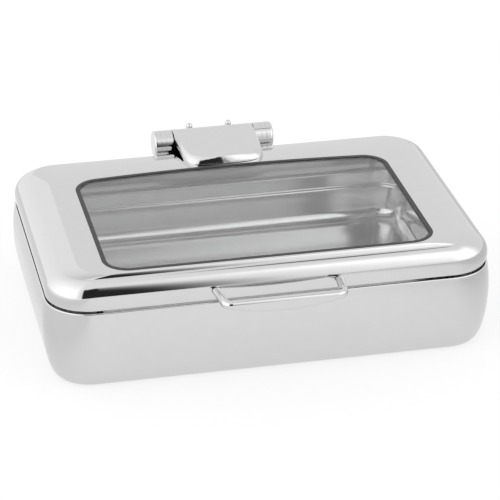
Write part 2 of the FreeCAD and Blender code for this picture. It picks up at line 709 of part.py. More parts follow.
def hinge_base():
    """Two knuckles joined behind the barrel by a bridge that the bolts hold down."""
    bridge = box(V(-KNUCKLE_END, BRIDGE_FRONT_Y, BRACKET_TOP_Z), V(KNUCKLE_END, BRIDGE_BACK_Y, BRIDGE_TOP_Z))
    arm = box(V(KNUCKLE_START, AXIS_Y, AXIS_Z - BARREL_R + BRACKET_GAP + BRACKET_SHEET),
              V(KNUCKLE_END, BRIDGE_BACK_Y, BRIDGE_TOP_Z))
    ring_x = KNUCKLE_END - RING_IN
    ring = tube(BARREL_R + RING_DEPTH, BARREL_R - RING_DEPTH, axis_point(ring_x - RING_WIDTH), axis_point(ring_x))
    knuckle = rod(BARREL_R, axis_point(KNUCKLE_START), axis_point(KNUCKLE_END)).cut(ring).fuse(arm)
    knuckle = knuckle.cut(rod(AXLE_R, axis_point(KNUCKLE_START), axis_point(KNUCKLE_END)))
    knuckle = knuckle.cut(rod(CAP_SPIGOT_R, axis_point(KNUCKLE_END - CAP_SPIGOT), axis_point(KNUCKLE_END)))
    base = bridge.fuse(knuckle).fuse(mirrored(knuckle))
    for x in (-BOLT_X, BOLT_X):
        base = base.cut(rod(BOLT_R, V(x, BOLT_Y, BRACKET_TOP_Z), V(x, BOLT_Y, BRIDGE_TOP_Z)))
    return base


def knuckle_cap():
    """The right end cap: a polished disc with a groove before it and a spigot in the knuckle."""
    start = KNUCKLE_END + CAP_NECK
    disc = rod(BARREL_R, axis_point(start), axis_point(BARREL_END))
    rounded = [edge for edge in disc.Edges if abs(edge.BoundBox.XMin - BARREL_END) < 0.01
               and abs(edge.BoundBox.XMax - BARREL_END) < 0.01]
    disc = disc.makeFillet(CAP_ROUND, rounded)
    neck = rod(BARREL_R - CAP_NECK_DROP, axis_point(KNUCKLE_END), axis_point(start))
    spigot = rod(CAP_SPIGOT_R, axis_point(KNUCKLE_END - CAP_SPIGOT), axis_point(KNUCKLE_END))
    return disc.fuse(neck).fuse(spigot)


def hinge_bracket():
    """An angle of thick sheet: its upright is nutted to the body, its shelf carries the hinge."""
    front = BRACKET_Y
    shelf_z = BRACKET_TOP_Z - BRACKET_SHEET
    upright = box(V(-BRACKET_HALF_X, front, PAD_LOW_Z - PAD_BORDER),
                  V(BRACKET_HALF_X, front + BRACKET_SHEET, BRACKET_TOP_Z))
    shelf = box(V(-BRACKET_HALF_X, front, shelf_z), V(BRACKET_HALF_X, BRIDGE_BACK_Y, BRACKET_TOP_Z))
    bracket = upright.fuse(shelf).removeSplitter()
    outer_bend = [edge for edge in bracket.Edges
                  if abs(edge.BoundBox.YMin - front) < 0.01 and abs(edge.BoundBox.YMax - front) < 0.01
                  and abs(edge.BoundBox.ZMin - BRACKET_TOP_Z) < 0.01]
    bracket = bracket.makeFillet(BRACKET_SHEET, outer_bend)
    for x in (-BOLT_X, BOLT_X):
        bracket = bracket.cut(rod(BOLT_R, V(x, BOLT_Y, shelf_z), V(x, BOLT_Y, BRACKET_TOP_Z)))
    return bracket.cut(bracket_stud_rods())


def bracket_stud_rods():
    end = BRACKET_Y + BRACKET_SHEET + BRACKET_NUT_HEIGHT + BRACKET_STUD_END
    return Part.makeCompound([rod(BRACKET_STUD_R, V(x, BODY_HALF_Y - RIM_INSET, z), V(x, end, z))
                              for x, z in bracket_stud_points()])


def bracket_stud_points():
    heights = (PAD_LOW_Z + BRACKET_STUD_IN, PAD_HIGH_Z - BRACKET_STUD_IN)
    return [(x, z) for x in (-BRACKET_STUD_X, BRACKET_STUD_X) for z in heights]


def bracket_studs(body):
    return Part.makeCompound([stud.cut(body) for stud in bracket_stud_rods().Solids])


def bracket_nuts():
    base = BRACKET_Y + BRACKET_SHEET
    nuts = [hexagon(BRACKET_NUT_R, BRACKET_NUT_HEIGHT, V(x, base, z), V(0, 1, 0))
            for x, z in bracket_stud_points()]
    return Part.makeCompound([nut.cut(bracket_stud_rods()) for nut in nuts])


def bracket_pad(body):
    """A spacer shaped to the curved back wall, between it and the bracket's upright."""
    pad = box(V(-PAD_HALF_X, BODY_HALF_Y - RIM_INSET, PAD_LOW_Z), V(PAD_HALF_X, BRACKET_Y, PAD_HIGH_Z))
    return pad.cut(body).cut(bracket_stud_rods())


def hinge_bolts():
    """Two bolts from below the shelf, up through the bridge and into the domed nuts."""
    low = BRACKET_TOP_Z - BRACKET_SHEET
    bolts = []
    for x in (-BOLT_X, BOLT_X):
        shank = rod(BOLT_R, V(x, BOLT_Y, low), V(x, BOLT_Y, BRIDGE_TOP_Z + DOME_SKIRT))
        head = hexagon(BRACKET_NUT_R, BOLT_HEAD_HEIGHT, V(x, BOLT_Y, low - BOLT_HEAD_HEIGHT), V(0, 0, 1))
        bolts.append(shank.fuse(head))
    return Part.makeCompound(bolts)


def domed_nuts():
    nuts = []
    for x in (-BOLT_X, BOLT_X):
        base = V(x, BOLT_Y, BRIDGE_TOP_Z)
        skirt = Part.makeCylinder(DOME_R, DOME_SKIRT, base)
        dome = Part.makeSphere(DOME_R, base + V(0, 0, DOME_SKIRT))
        nut = skirt.fuse(dome)
        nuts.append(nut.cut(Part.makeCylinder(BOLT_R, DOME_SKIRT, base)))
    return Part.makeCompound(nuts)


# Handle

def handle_root(y):
    """A point on the right foot's axis."""
    return V(HANDLE_HALF_X, y, HANDLE_Z)


def handle_screw_shank():
    return rod(HANDLE_SCREW_R, handle_root(LID_FRONT_Y - HANDLE_SCREW_DEPTH), handle_root(LID_FRONT_Y + 2 * SHEET))


def handle_leg():
    """The right leg: a round bar that leans inward a little and bends into the grip."""
    root = handle_root(HANDLE_FOOT_Y)
    corner = V(GRIP_HALF_X + HANDLE_BEND, GRIP_Y, HANDLE_Z)
    heading = (corner - root).normalize()
    start = root - heading * HANDLE_R
    bend_in = corner - heading * HANDLE_BEND
    bend, _ = arc_onward(bend_in, heading, V(GRIP_HALF_X, GRIP_Y, HANDLE_Z))
    path = Part.Wire([Part.LineSegment(start, bend_in).toShape(), bend.toShape()])
    leg = path.makePipeShell([Part.Wire([Part.Circle(start, heading, HANDLE_R).toShape()])], True, False)
    behind = box(V(0, HANDLE_FOOT_Y, 0), V(BODY_HALF_X, BODY_HALF_Y, LID_TOP_Z))
    return leg.cut(behind).cut(handle_screw_shank())


def handle_grip():
    """The grip: straight above and bowed below, a little thicker than the legs and rounded along its edges."""
    radius = HANDLE_R + GRIP_SWELL
    front = GRIP_Y - radius
    top = HANDLE_Z + radius
    low = HANDLE_Z - radius
    corners = [V(GRIP_HALF_X, front, low), V(GRIP_HALF_X, front, top),
               V(-GRIP_HALF_X, front, top), V(-GRIP_HALF_X, front, low)]
    sides = [Part.LineSegment(a, b).toShape() for a, b in zip(corners, corners[1:])]
    belly = Part.Arc(corners[3], V(0, front, low - GRIP_BELLY), corners[0]).toShape()
    grip = Part.Face(Part.Wire(sides + [belly])).extrude(V(0, 2 * radius, 0))
    return grip.makeFillet(radius - GRIP_FLAT, [edge for edge in grip.Edges if edge.BoundBox.XLength > GRIP_HALF_X])


def handle_bar():
    leg = handle_leg()
    return handle_grip().fuse(leg).fuse(mirrored(leg))


def handle_washers(outer):
    """Black silicone washers shaped to the lid's wall, under the handle's feet."""
    washer = rod(HANDLE_R - FOOT_WASHER_IN, handle_root(HANDLE_FOOT_Y), handle_root(LID_FRONT_Y + FOOT_WASHER_THICK))
    return pair(washer.cut(outer).cut(handle_screw_shank()))


def handle_screws(inside):
    """Screws from inside the lid into the handle's feet, each with its backing washer."""
    seat = handle_root(LID_FRONT_Y + 2 * SHEET)
    backing = rod(BACKING_R, handle_root(LID_FRONT_Y), seat).common(inside)
    head = hexagon(SCREW_HEAD_R, SCREW_HEAD_HEIGHT, seat, V(0, 1, 0))
    return pair(handle_screw_shank().fuse(backing).fuse(head))


def main():
    os.makedirs("parts", exist_ok=True)
    body = body_solid()
    lid_outer = lid_solid(0.0, LID_EDGE_Z)
    lid_inside = lid_solid(SHEET, LID_EDGE_Z + SHEET)

    save("water_pan", water_pan())
    save("rim_frame", rim_frame())
    save("induction_plate", induction_plate())
    save("aluminium_core", aluminium_core())
    save("lid_buffers", lid_buffers())
    save("food_pan", food_pan())

    save("lid_shell", lid_shell())
    save("glass_pane", glass_pane())
    save("window_gasket", window_gasket())
    save("glass_frame", glass_frame())
    save("frame_studs", frame_studs(lid_inside))
    save("frame_nuts", frame_nuts())

    save("hinge_leaf", hinge_leaf(lid_outer))
    save("leaf_screws", leaf_screws())
    save("leaf_backing_plate", leaf_backing_plate(lid_inside))
    save("leaf_bushes", leaf_bushes())
    save("damper_right", damper())
    save("damper_left", mirrored(damper()))
    save("torsion_spring", torsion_spring())

    save("hinge_axle", hinge_axle())
    save("thrust_washers", thrust_washers())
    save("hinge_base", hinge_base())
    save("knuckle_cap_right", knuckle_cap())
    save("knuckle_cap_left", mirrored(knuckle_cap()))
    save("hinge_bracket", hinge_bracket())
    save("bracket_pad", bracket_pad(body))
    save("bracket_studs", bracket_studs(body))
    save("bracket_nuts", bracket_nuts())
    save("hinge_bolts", hinge_bolts())
    save("domed_nuts", domed_nuts())

    save("handle_bar", handle_bar())
    save("handle_washers", handle_washers(lid_outer))
    save("handle_screws", handle_screws(lid_inside))


main()
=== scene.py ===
# %% [markdown]
# # Dressing an induction chafing dish
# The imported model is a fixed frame: an oblong steel body, a lift-out food pan and a lid with a glass
# window. Almost everything on the real dish is mirror-polished, and a mirror shows every flat facet of a
# mesh. So the large pressed pieces are rebuilt here as dense, smooth skins from the same sizes as the
# frame's solids. The hinge's leaf gets a softer lip, and the small turned pieces keep the frame's own
# meshes.

# %% The frame and its box
import bpy
import json
import math
import numpy as np
from mathutils import Matrix, Vector


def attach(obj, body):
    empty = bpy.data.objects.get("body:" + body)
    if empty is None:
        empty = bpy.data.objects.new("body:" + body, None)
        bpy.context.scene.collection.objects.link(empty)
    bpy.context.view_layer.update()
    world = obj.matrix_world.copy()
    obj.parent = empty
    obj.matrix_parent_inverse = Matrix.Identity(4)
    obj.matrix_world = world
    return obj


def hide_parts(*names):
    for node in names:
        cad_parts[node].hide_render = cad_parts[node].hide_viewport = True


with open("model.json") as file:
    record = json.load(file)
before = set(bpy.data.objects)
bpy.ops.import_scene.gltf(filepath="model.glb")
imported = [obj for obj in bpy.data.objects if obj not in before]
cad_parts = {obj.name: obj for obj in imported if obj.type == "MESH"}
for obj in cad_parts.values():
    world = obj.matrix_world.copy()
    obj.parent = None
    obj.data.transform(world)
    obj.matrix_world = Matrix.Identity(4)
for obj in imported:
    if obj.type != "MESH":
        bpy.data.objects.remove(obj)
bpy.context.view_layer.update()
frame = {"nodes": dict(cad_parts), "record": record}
nodes = frame["nodes"]
MM = 0.001

# %% [markdown]
# ## The camera
# The photograph was solved as a pinhole camera, in the frame's own axes: it stands in front, a little to
# the left, and looks down by 26 degrees. A long lens keeps the dish's sides nearly parallel, as in the
# picture. A camera could also be placed by eye, but a solved one puts each edge where the photograph has
# it.

# %% The camera
VIEW_RIGHT = Vector((0.97663, -0.21491, 0.0))
VIEW_DOWN_DEG = 26.21
CAMERA_PLACE = (-0.5939, -2.7279, 1.4497)
LENS_MM, SENSOR_MM = 172.31, 36.0
flat_ahead = Vector((-VIEW_RIGHT.y, VIEW_RIGHT.x, 0.0))
tilt = math.radians(VIEW_DOWN_DEG)
ahead = flat_ahead * math.cos(tilt) - Vector((0, 0, math.sin(tilt)))
above = VIEW_RIGHT.cross(ahead)
camera_data = bpy.data.cameras.new("camera")
camera_data.lens = LENS_MM
camera_data.sensor_width = SENSOR_MM
camera = bpy.data.objects.new("camera", camera_data)
bpy.context.scene.collection.objects.link(camera)
turned = Matrix((VIEW_RIGHT, above, -ahead)).transposed().to_4x4()
camera.matrix_world = Matrix.Translation(CAMERA_PLACE) @ turned
bpy.context.scene.camera = camera
print("camera at", tuple(round(v, 3) for v in camera.location), "lens", camera_data.lens)

# %% [markdown]
# ## Colours and nodes
# Colours are written as they look on a screen, in sRGB hex, and Blender works with linear light, so one
# function turns the first into the second. A second one adds a node with its values and links, which keeps
# each material below to the lines that say something about its surface.

# %% One colour function and one node function
def linear(code):
    """A '#rrggbb' colour as linear RGBA."""
    parts = [int(code[k:k + 2], 16) / 255 for k in (1, 3, 5)]
    return tuple(c / 12.92 if c <= 0.04045 else ((c + 0.055) / 1.055) ** 2.4 for c in parts) + (1.0,)


def add(tree, kind, settings=None, **inputs):
    """Adds a node. Settings are its properties. An input is named, or counted as i0, i1 and so on, and it is
    given a value, or a socket to link from."""
    node = tree.nodes.new(kind)
    for key, value in (settings or {}).items():
        setattr(node, key, value)
    for key, value in inputs.items():
        socket = node.inputs[int(key[1:])] if key[1:].isdigit() else node.inputs[key.replace("_", " ")]
        if isinstance(value, bpy.types.NodeSocket):
            tree.links.new(value, socket)
        else:
            socket.default_value = value
    return node


def new_material(name):
    """An empty material: its node tree and its output node."""
    material = bpy.data.materials.new(name)
    material.use_nodes = True
    material.node_tree.nodes.clear()
    return material, material.node_tree, material.node_tree.nodes.new("ShaderNodeOutputMaterial")


print("steel grey in linear light:", [round(c, 3) for c in linear("#d6d6d6")[:3]])

# %% [markdown]
# ## Polished stainless steel
# The body, the lid, the hinge and the handle are stainless steel sheet and bar, ground and then buffed to a
# mirror. Such steel gives back about two thirds of the light, evenly over the colours, so it is a neutral
# grey that shows the white studio as light grey. Buffing leaves it almost without roughness. What tells it
# from chrome is a very slight waviness, several centimetres long, that bends the reflected edges a little.
# The waves could be modelled, but they are only 0.01 mm deep, and a bump shows them as well.

# %% Material: mirror-polished stainless steel
def polished_steel(name, haze_mm=18.0, wave_mm=55.0, wave_depth_mm=0.012):
    material, tree, out = new_material(name)
    place = add(tree, "ShaderNodeTexCoord")
    haze = add(tree, "ShaderNodeTexNoise", Vector=place.outputs["Object"], Scale=1 / (haze_mm * MM),
               Detail=3.0)
    rough = add(tree, "ShaderNodeMapRange", Value=haze.outputs["Fac"], To_Min=0.028, To_Max=0.05)
    tone = add(tree, "ShaderNodeMix", {"data_type": "RGBA"}, Factor=haze.outputs["Fac"],
               i6=linear("#d6d6d6"), i7=linear("#dadada"))
    wave = add(tree, "ShaderNodeTexNoise", Vector=place.outputs["Object"], Scale=1 / (wave_mm * MM),
               Detail=0.0)
    bump = add(tree, "ShaderNodeBump", Height=wave.outputs["Fac"], Strength=1.0,
               Distance=wave_depth_mm * MM)
    steel = add(tree, "ShaderNodeBsdfPrincipled", Base_Color=tone.outputs["Result"], Metallic=1.0,
                Roughness=rough.outputs["Result"], Normal=bump.outputs["Normal"])
    tree.links.new(steel.outputs["BSDF"], out.inputs["Surface"])
    return material


mirror_steel = polished_steel("stainless_steel_mirror_polished")
print("made", mirror_steel.name)

# %% [markdown]
# ## Satin stainless steel
# The food pan and the hidden sheet pieces are the same steel with a satin finish: a fine abrasive belt
# leaves short parallel scratches, which blur the reflections. The scratches of a real belt finish are 0.05
# mm wide and don't show from a step away, so they are drawn 1 mm wide and 60 mm long here. The shader's
# anisotropy could blur the reflections as well, but scratches that are drawn vary the tone too. The
# spring's ground steel and the rolled aluminium core differ only in tone and roughness, so one function
# makes them all.

# %% Material: satin stainless steel
def satin_steel(name, dark, light, rough_low, rough_high, width_mm=1.0, length_mm=60.0, depth_mm=0.01):
    material, tree, out = new_material(name)
    place = add(tree, "ShaderNodeTexCoord")
    stretch = add(tree, "ShaderNodeMapping", Vector=place.outputs["Object"],
                  Scale=(width_mm / length_mm, 1.0, 1.0))
    belt = add(tree, "ShaderNodeTexNoise", Vector=stretch.outputs["Vector"], Scale=1 / (width_mm * MM),
               Detail=2.0)
    tone = add(tree, "ShaderNodeMix", {"data_type": "RGBA"}, Factor=belt.outputs["Fac"],
               i6=linear(dark), i7=linear(light))
    rough = add(tree, "ShaderNodeMapRange", Value=belt.outputs["Fac"], To_Min=rough_low, To_Max=rough_high)
    bump = add(tree, "ShaderNodeBump", Height=belt.outputs["Fac"], Strength=0.15, Distance=depth_mm * MM)
    steel = add(tree, "ShaderNodeBsdfPrincipled", Base_Color=tone.outputs["Result"], Metallic=1.0,
                Roughness=rough.outputs["Result"], Normal=bump.outputs["Normal"])
    tree.links.new(steel.outputs["BSDF"], out.inputs["Surface"])
    return material


pan_steel = satin_steel("stainless_steel_satin_pan", "#cdcdcd", "#d7d7d7", 0.12, 0.18)
sheet_steel = satin_steel("stainless_steel_satin_sheet", "#b4b4b2", "#c2c2c0", 0.26, 0.34)
ground_steel = satin_steel("spring_steel_ground", "#8c8c8d", "#9a9a9b", 0.30, 0.38)
rolled_aluminium = satin_steel("aluminium_rolled", "#bebfc1", "#cccdcf", 0.34, 0.42)
print("made", pan_steel.name, sheet_steel.name, ground_steel.name, rolled_aluminium.name)

# %% [markdown]
# ## Silicone and nylon
# The window's gasket is moulded silicone in a dark grey, and the washers and buffers are the same rubber in
# black. A moulded rubber is matt, with a faint grain from the tool that breaks up its highlights. The
# hinge's bushes are moulded nylon, a little smoother. One function makes all three, because only the tone,
# the roughness and the grain differ.

# %% Materials: moulded silicone and nylon
def moulded(name, dark, light, roughness, grain_mm, depth_mm):
    material, tree, out = new_material(name)
    place = add(tree, "ShaderNodeTexCoord")
    grain = add(tree, "ShaderNodeTexNoise", Vector=place.outputs["Object"], Scale=1 / (grain_mm * MM),
                Detail=4.0)
    tone = add(tree, "ShaderNodeMix", {"data_type": "RGBA"}, Factor=grain.outputs["Fac"],
               i6=linear(dark), i7=linear(light))
    bump = add(tree, "ShaderNodeBump", Height=grain.outputs["Fac"], Strength=0.4, Distance=depth_mm * MM)
    rubber = add(tree, "ShaderNodeBsdfPrincipled", Base_Color=tone.outputs["Result"], Roughness=roughness,
                 IOR=1.41, Normal=bump.outputs["Normal"])
    tree.links.new(rubber.outputs["BSDF"], out.inputs["Surface"])
    return material


grey_silicone = moulded("silicone_dark_grey_moulded", "#3a3a3a", "#424242", 0.55, 0.8, 0.02)
# The black silicone is also painted shade on the flange under the lid's edge.
black_silicone = moulded("silicone_black_moulded_and_seam_shade", "#131313", "#1a1a1a", 0.5, 0.8, 0.02)
bush_nylon = moulded("nylon_black_moulded", "#1b1b1b", "#222222", 0.42, 0.5, 0.01)
print("made", grey_silicone.name, black_silicone.name, bush_nylon.name)

# %% [markdown]
# ## Tempered glass
# The window is a flat pane of clear float glass, tempered. It is nearly invisible: what shows is the white
# backdrop that it mirrors at a flat angle, and a very slight green in its depth. A single sheet without
# thickness would render faster, but the solid pane bends light as the real one does and shows its edge.

# %% Material: tempered float glass
CLOUD_MM = 80.0
glass, tree, out = new_material("float_glass_tempered")
place = add(tree, "ShaderNodeTexCoord")
cloud = add(tree, "ShaderNodeTexNoise", Vector=place.outputs["Object"], Scale=1 / (CLOUD_MM * MM),
            Detail=1.0)
tint = add(tree, "ShaderNodeMix", {"data_type": "RGBA"}, Factor=cloud.outputs["Fac"],
           i6=linear("#fcfdfd"), i7=linear("#fefefe"))
pane = add(tree, "ShaderNodeBsdfPrincipled", Base_Color=tint.outputs["Result"], Roughness=0.0, IOR=1.52,
           Transmission_Weight=1.0)
tree.links.new(pane.outputs["BSDF"], out.inputs["Surface"])
print("made", glass.name)

# %% [markdown]
# ## Finishes of the frame's own pieces
# The record names a material slot for every piece. Each slot gets the finish made above, so the small
# pieces that stay as they are wear it too. Naming the pieces one by one would do the same in many more
# lines.

# %% Finishes by slot
FINISH = {"polished_steel": mirror_steel, "satin_steel": sheet_steel, "spring_steel": ground_steel,
          "aluminium": rolled_aluminium, "tempered_glass": glass, "grey_silicone": grey_silicone,
          "black_silicone": black_silicone, "bush_nylon": bush_nylon}
for part in frame["record"]["subparts"]:
    for own_slot in nodes[part["node"]].material_slots:
        own_slot.material = FINISH[part["material_slot"]]

# %% [markdown]
# ## Skins from outlines
# A pressed pan is a stack of rounded rectangles, each a little larger or smaller than the one below. One
# level is six numbers in mm: half width, front, back, corner radius, bow of the back edge, and height. All
# levels have the same count of points in the same order, so quads join each to the next without any twist.
# A box with a subdivision modifier would be less work, but its corners wouldn't be arcs of a known radius.
# Because a level is only six numbers, a sharp edge between levels can be rounded by a Bezier curve in them.

# %% Levels and how an edge between them is rounded
LEAST_CORNER, LARGEST_SHARE = 0.5, 0.49


def level(half_x, front, back, corner, z, bow=0.0):
    return (half_x, front, back, corner, bow, z)


def grown(base, by, z):
    """A level moved outward by a distance, at height z."""
    return (base[0] + by, base[1] - by, base[2] + by, max(base[3] + by, LEAST_CORNER), base[4], z)


def mixed(a, b, share):
    return tuple(p + (q - p) * share for p, q in zip(a, b))


def rounded(levels, at, reach, steps=5):
    """The levels with the one at that place replaced by a curve that starts and ends at reach, in mm."""
    before, edge, after = levels[at - 1], levels[at], levels[at + 1]

    def off(other):
        gap = math.dist((other[0], other[1], other[5]), (edge[0], edge[1], edge[5]))
        return mixed(edge, other, min(reach / gap, LARGEST_SHARE))

    start, end = off(before), off(after)
    curve = [mixed(mixed(start, edge, k / steps), mixed(edge, end, k / steps), k / steps)
             for k in range(steps + 1)]
    return levels[:at] + curve + levels[at + 1:]


print("a level 2 mm larger:", grown(level(20.0, -10.0, 10.0, 5.0, 0.0), 2.0, 1.0))

# %% The points round one level
EDGE_STEPS, CORNER_STEPS, SIDE_STEPS = 32, 22, 18
LEAST_BOW = 0.01


def outline_points(one):
    """The points once round a level, in metres, from the middle of the front edge to the right."""
    half_x, front, back, r, bow, z = one
    edge_x = half_x - r
    turn, back_y = math.pi / 2, back - r
    if bow > LEAST_BOW:
        bow_r = (half_x ** 2 + bow ** 2) / (2 * bow)
        rise = math.sqrt((bow_r - r) ** 2 - edge_x ** 2)
        back_y, turn = back - bow_r + rise, math.atan2(rise, edge_x)
    right = [(edge_x * k / EDGE_STEPS, front) for k in range(EDGE_STEPS)]
    for k in range(CORNER_STEPS):
        angle = -math.pi / 2 * (1 - k / CORNER_STEPS)
        right.append((edge_x + r * math.cos(angle), front + r + r * math.sin(angle)))
    right += [(half_x, front + r + (back_y - front - r) * k / SIDE_STEPS) for k in range(SIDE_STEPS)]
    for k in range(CORNER_STEPS):
        angle = turn * k / CORNER_STEPS
        right.append((edge_x + r * math.cos(angle), back_y + r * math.sin(angle)))
    end_x, end_y = edge_x + r * math.cos(turn), back_y + r * math.sin(turn)
    for k in range(EDGE_STEPS + 1):
        x = end_x * (1 - k / EDGE_STEPS)
        y = end_y if bow <= LEAST_BOW else back - bow_r + math.sqrt(bow_r ** 2 - x ** 2)
        right.append((x, y))
    left = [(-x, y) for x, y in right[-2:0:-1]]
    return [(x * MM, y * MM, z * MM) for x, y in right + left]


print("points round a level:", len(outline_points(level(20.0, -10.0, 10.0, 5.0, 0.0))))

# %% A skin through levels
SHARP_DEG = 38


def skin(name, levels, finish, body, replaced, closed=False):
    """A smooth mesh through the levels: a ring where closed, and otherwise with a flat cap at each end."""
    rings = [outline_points(one) for one in levels]
    count = len(rings[0])
    points = [p for ring in rings for p in ring]
    faces = []
    for row in range(len(rings) if closed else len(rings) - 1):
        low, high = row * count, (row + 1) % len(rings) * count
        for k in range(count):
            onward = (k + 1) % count
            faces.append((low + k, low + onward, high + onward, high + k))
    if not closed:
        faces.append(tuple(reversed(range(count))))
        faces.append(tuple(range(len(points) - count, len(points))))
    mesh = bpy.data.meshes.new(name)
    mesh.from_pydata(points, [], faces)
    mesh.shade_smooth()
    mesh.set_sharp_from_angle(angle=math.radians(SHARP_DEG))
    mesh.materials.append(finish)
    piece = bpy.data.objects.new(name, mesh)
    bpy.context.scene.collection.objects.link(piece)
    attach(piece, body)
    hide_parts(replaced)
    print(name, "levels", len(levels), "faces", len(faces))
    return piece


print("faces turn sharp over", SHARP_DEG, "degrees")

# %% [markdown]
# ## The body
# The deep water pan is drawn from one sheet. Its wall stands widest at two thirds of its height, draws in
# below in a quarter of an ellipse to the flat foot, and above very slightly to the rim, which is rolled
# into a bead. The skin runs from the heating pocket below, up the outside, over the bead and down the
# inside. It could be modelled by hand, but a mirror shows every change of a curve, so the ellipse is worked
# out.

# %% The body's wall
SHEET = 1.2
BODY = level(285.0, -195.0, 195.0, 58.8, 0.0)
BODY_FLOOR, BODY_BULGE, BODY_RIM, BODY_LEDGE = 1.0, 71.3, 105.0, 98.0
FOOT_INSET, RIM_INSET = 17.5, 3.4
FOOT_LEVELS, WALL_LEVELS = 24, 8


def body_levels(offset, top):
    """The wall from the foot up to a height, drawn in by an offset."""
    low = BODY_FLOOR + offset
    levels = []
    for step in range(FOOT_LEVELS + 1):
        angle = math.radians(90 - 90 / FOOT_LEVELS * step)
        inset = offset + FOOT_INSET * (1 - math.cos(angle))
        levels.append(grown(BODY, -inset, low + (BODY_BULGE - low) * (1 - math.sin(angle))))
    for step in range(1, WALL_LEVELS + 1):
        z = BODY_BULGE + (top - BODY_BULGE) * step / WALL_LEVELS
        share = (z - BODY_BULGE) / (BODY_RIM - BODY_BULGE)
        levels.append(grown(BODY, -offset - RIM_INSET * share ** 2, z))
    return levels


print("levels up the wall:", len(body_levels(0.0, BODY_RIM)))

# %% The body's skin
BEAD_WIDTH, BEAD_ROUND, BEAD_INNER_ROUND, BEAD_LEVELS = 3.0, 1.5, 1.0, 8
POCKET = level(192.0, -117.0, 117.0, 32.0, 0.0)
POCKET_TOP = 6.0
bead_z = BODY_RIM - BEAD_ROUND
outside = body_levels(0.0, bead_z)
bead_side = BODY[0] - outside[-1][0]
bead = []
for step in range(1, BEAD_LEVELS + 1):
    angle = math.radians(90 * step / BEAD_LEVELS)
    bead.append(grown(BODY, -bead_side - BEAD_ROUND * (1 - math.cos(angle)),
                      bead_z + BEAD_ROUND * math.sin(angle)))
bead_in = -RIM_INSET - BEAD_WIDTH
bead.append(grown(BODY, bead_in, BODY_RIM))
bead.append(grown(BODY, bead_in, BODY_LEDGE))
bead = rounded(bead, len(bead) - 2, BEAD_INNER_ROUND)
inside = list(reversed(body_levels(SHEET, BODY_LEDGE)))
pocket_under = [grown(POCKET, 0, POCKET_TOP), grown(POCKET, 0, BODY_FLOOR)]
pocket_over = [grown(POCKET, SHEET, BODY_FLOOR + SHEET), grown(POCKET, SHEET, POCKET_TOP + SHEET)]
skin("water_pan_skin", pocket_under + outside + bead + inside + pocket_over, mirror_steel,
     "base", "water_pan")

# %% [markdown]
# ## The food pan
# A full-size gastronorm pan: a flat flange, a short upper wall, a small step on which pans stack, a tapered
# wall and a generous radius round the floor. The step and the radius are what catches the light through the
# window. A bevel modifier would give every edge the same width, so each gets its own small rounding here.

# %% The food pan's wall and floor
MOUTH = level(252.5, -150.0, 150.0, 43.0, 0.0)
PAN_TOP, PAN_LOW, PAN_DEPTH, PAN_SHEET = 100.2, 98.0, 65.0, 0.9
MOUTH_TAPER, STEP_DROP, STEP_HALF, STEP_IN, WALL_TAPER = 1.0, 20.0, 1.5, 3.0, 4.5
FLOOR_ROUND, FLOOR_LEVELS, FLOOR_INSETS = 17.0, 16, (60.0, 34.0)
STEP_ROUND = 1.6


def pan_levels(offset):
    """The pan's wall and floor radius, from the mouth down, drawn in by an offset."""
    step_z = PAN_TOP - STEP_DROP
    floor = PAN_TOP - PAN_DEPTH + offset
    round_z = floor + FLOOR_ROUND
    under_step = MOUTH_TAPER + STEP_IN
    at_round = under_step + WALL_TAPER
    levels = [grown(MOUTH, -offset, PAN_TOP),
              grown(MOUTH, -offset - MOUTH_TAPER, step_z + STEP_HALF),
              grown(MOUTH, -offset - under_step, step_z - STEP_HALF),
              grown(MOUTH, -offset - at_round, round_z)]
    for step in range(1, FLOOR_LEVELS + 1):
        angle = math.radians(90 * step / FLOOR_LEVELS)
        levels.append(grown(MOUTH, -offset - at_round - FLOOR_ROUND * (1 - math.cos(angle)),
                            round_z - FLOOR_ROUND * math.sin(angle)))
    return rounded(rounded(levels, 2, STEP_ROUND), 1, STEP_ROUND)


def pan_floor(offset):
    z = PAN_TOP - PAN_DEPTH + offset
    return [grown(MOUTH, -offset - inset, z) for inset in FLOOR_INSETS]


print("levels down the pan's wall:", len(pan_levels(0.0)))

# %% The food pan's skin
FLANGE, FLANGE_ROUND, MOUTH_ROUND = 12.5, 0.9, 2.6
flange_top = [grown(MOUTH, FLANGE, PAN_TOP), grown(MOUTH, FLANGE, PAN_LOW),
              grown(MOUTH, FLANGE - PAN_SHEET, PAN_LOW),
              grown(MOUTH, FLANGE - PAN_SHEET, PAN_TOP - PAN_SHEET)]
pan_inside = pan_floor(PAN_SHEET) + list(reversed(pan_levels(PAN_SHEET))) + flange_top
mouth_at = len(pan_inside) - len(flange_top) - 1
pan_inside = rounded(rounded(pan_inside, mouth_at + 1, FLANGE_ROUND), mouth_at, MOUTH_ROUND)
pan_outside = pan_levels(0.0)
pan_outside[0] = grown(MOUTH, 0.0, PAN_TOP - PAN_SHEET)
skin("food_pan_skin", pan_inside + pan_outside + list(reversed(pan_floor(0.0))), pan_steel,
     "food_pan", "food_pan")

# %% [markdown]
# ## The lid
# The lid is pressed from one sheet as well: a low wall over a turned-in edge, a full shoulder, a soft
# crease and a panel that rises to the window. The shoulder could be a quarter of a circle, but the real one
# is fuller, so it is part of an ellipse with a higher power than 2. At the front it runs in less far than
# at the sides, as the window sits close to the handle.

